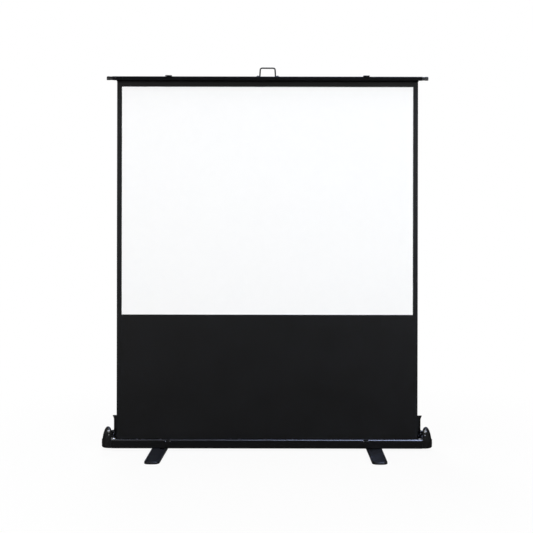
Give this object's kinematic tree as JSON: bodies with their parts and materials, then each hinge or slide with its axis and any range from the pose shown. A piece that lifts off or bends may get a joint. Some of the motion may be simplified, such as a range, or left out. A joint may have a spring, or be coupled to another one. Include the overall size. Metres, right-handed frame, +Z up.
{
  "type": "portable projection screen",
  "caption": "Pull-up projection screen that rises from a floor case on a scissor lift, with a white field on black fabric, a carrying handle, hasp latches and swivelling feet.",
  "frame": {"origin": "on the floor under the middle of the case", "axes": "+Z up, +X to the right as seen from the front, the viewing side faces -Y"},
  "size_m": [1.9114, 0.71, 2.2217],
  "materials": {
    "black_coated_aluminium": "satin black coating",
    "black_moulded_plastic": "glossy moulding",
    "black_powder_coated_steel": "powder coated",
    "black_fabric": "matt coated",
    "matt_white_fabric": "matt white",
    "satin_aluminium": "satin",
    "zinc_plated_steel": "zinc plated",
    "spring_steel": "oiled",
    "nylon": "matt",
    "black_rubber": "matt",
    "dark_grey_rod": "satin coated"
  },
  "bodies": {
    "case": {"case_trough": "black_coated_aluminium", "end_cap_left": "black_moulded_plastic", "end_cap_right": "black_moulded_plastic", "bar_guide_left": "black_moulded_plastic", "bar_guide_right": "black_moulded_plastic", "roller_bracket_left": "zinc_plated_steel", "roller_bracket_right": "zinc_plated_steel", "spring_mandrel": "zinc_plated_steel", "lower_slide_rail": "zinc_plated_steel", "lower_pivot_block": "zinc_plated_steel", "lower_pivot_pin": "zinc_plated_steel", "latch_catch_left": "black_powder_coated_steel", "latch_catch_right": "black_powder_coated_steel", "foot_disc_left": "nylon", "foot_disc_right": "nylon", "foot_bolt_left": "zinc_plated_steel", "foot_bolt_right": "zinc_plated_steel", "black_fabric_sheet": "black_fabric", "white_viewing_field": "matt_white_fabric"},
    "roller": {"roller_tube": "satin_aluminium", "roller_idle_plug": "black_moulded_plastic", "roller_spring_plug": "black_moulded_plastic", "roller_spring": "spring_steel", "fabric_leader": "black_fabric"},
    "lower_front_arm": {"lower_front_arm": "black_coated_aluminium", "lower_centre_rivet": "zinc_plated_steel", "lower_centre_washer": "nylon", "right_joint_rivet": "zinc_plated_steel", "right_joint_washer": "nylon"},
    "lower_rear_arm": {"lower_rear_arm": "black_coated_aluminium", "left_joint_rivet": "zinc_plated_steel", "left_joint_washer": "nylon"},
    "upper_rear_arm": {"upper_rear_arm": "black_coated_aluminium", "upper_centre_rivet": "zinc_plated_steel", "upper_centre_washer": "nylon"},
    "upper_front_arm": {"upper_front_arm": "black_coated_aluminium"},
    "lower_slider": {"lower_slider": "nylon", "lower_slider_pin": "zinc_plated_steel"},
    "upper_slider": {"upper_slider": "nylon", "upper_slider_pin": "zinc_plated_steel"},
    "top_bar": {"top_bar": "black_coated_aluminium", "bar_end_left": "black_moulded_plastic", "bar_end_right": "black_moulded_plastic", "fabric_batten": "satin_aluminium", "upper_slide_rail": "zinc_plated_steel", "upper_pivot_block": "zinc_plated_steel", "upper_pivot_pin": "zinc_plated_steel", "handle_clip_left": "black_moulded_plastic", "handle_clip_right": "black_moulded_plastic", "latch_base_left": "black_powder_coated_steel", "latch_base_right": "black_powder_coated_steel"},
    "carry_handle": {"carry_handle": "dark_grey_rod"},
    "latch_hasp_left": {"latch_hasp_left": "black_powder_coated_steel"},
    "latch_hasp_right": {"latch_hasp_right": "black_powder_coated_steel"},
    "foot_left": {"foot_left": "black_powder_coated_steel", "foot_pad_left_front": "black_rubber", "foot_pad_left_rear": "black_rubber"},
    "foot_right": {"foot_right": "black_powder_coated_steel", "foot_pad_right_front": "black_rubber", "foot_pad_right_rear": "black_rubber"}
  },
  "joints": [
    {"name": "scissor_lift", "type": "hinge", "parent": "case", "child": "lower_front_arm", "pos_m": [-0.45003, 0, 0.03], "axis": [0, 1, 0], "range_deg": [0, 53.44], "deforming": ["black_fabric_sheet", "white_viewing_field"]},
    {"name": "lower_crossing", "type": "hinge", "parent": "lower_front_arm", "child": "lower_rear_arm", "pos_m": [-0.07204, 0, 0.55875], "axis": [0, 1, 0], "range_deg": [-106.9, 0]},
    {"name": "right_elbow", "type": "hinge", "parent": "lower_front_arm", "child": "upper_rear_arm", "pos_m": [0.30595, 0, 1.0875], "axis": [0, 1, 0], "range_deg": [-106.9, 0]},
    {"name": "upper_crossing", "type": "hinge", "parent": "upper_rear_arm", "child": "upper_front_arm", "pos_m": [-0.07204, 0, 1.61625], "axis": [0, 1, 0], "range_deg": [0, 106.9]},
    {"name": "bar_pivot", "type": "hinge", "parent": "upper_rear_arm", "child": "top_bar", "pos_m": [-0.45003, 0, 2.145], "axis": [0, 1, 0], "range_deg": [0, 53.46]},
    {"name": "lower_slider_pivot", "type": "hinge", "parent": "lower_rear_arm", "child": "lower_slider", "pos_m": [0.30595, 0, 0.03], "axis": [0, 1, 0], "range_deg": [0, 53.46]},
    {"name": "upper_slider_pivot", "type": "hinge", "parent": "upper_front_arm", "child": "upper_slider", "pos_m": [0.30595, 0, 2.145], "axis": [0, 1, 0], "range_deg": [-53.46, 0]},
    {"name": "roller_spin", "type": "hinge", "parent": "case", "child": "roller", "pos_m": [0, -0.0325, 0.0415], "axis": [1, 0, 0], "range_deg": [-5780, 0]},
    {"name": "foot_swivel_left", "type": "hinge", "parent": "case", "child": "foot_left", "pos_m": [-0.621, 0, 0.008], "axis": [0, 0, 1], "range_deg": [0, 90]},
    {"name": "foot_swivel_right", "type": "hinge", "parent": "case", "child": "foot_right", "pos_m": [0.621, 0, 0.008], "axis": [0, 0, 1], "range_deg": [-90, 0]},
    {"name": "handle_swing", "type": "hinge", "parent": "top_bar", "child": "carry_handle", "pos_m": [0, -0.012, 2.1675], "axis": [1, 0, 0], "range_deg": [-90, 90]},
    {"name": "latch_swing_left", "type": "hinge", "parent": "top_bar", "child": "latch_hasp_left", "pos_m": [-0.57, -0.0631, 2.1646], "axis": [1, 0, 0], "range_deg": [0, 270]},
    {"name": "latch_swing_right", "type": "hinge", "parent": "top_bar", "child": "latch_hasp_right", "pos_m": [0.57, -0.0631, 2.1646], "axis": [1, 0, 0], "range_deg": [0, 270]}
  ],
  "couplings": [
    {"joint": "lower_crossing", "follows": "scissor_lift", "ratio": -2},
    {"joint": "right_elbow", "follows": "scissor_lift", "ratio": -2},
    {"joint": "upper_crossing", "follows": "scissor_lift", "ratio": 2},
    {"joint": "bar_pivot", "follows": "scissor_lift", "ratio": 1},
    {"joint": "lower_slider_pivot", "follows": "scissor_lift", "ratio": 1},
    {"joint": "upper_slider_pivot", "follows": "scissor_lift", "ratio": -1},
    {"joint": "roller_spin", "follows": "scissor_lift", "ratio": -108}
  ]
}
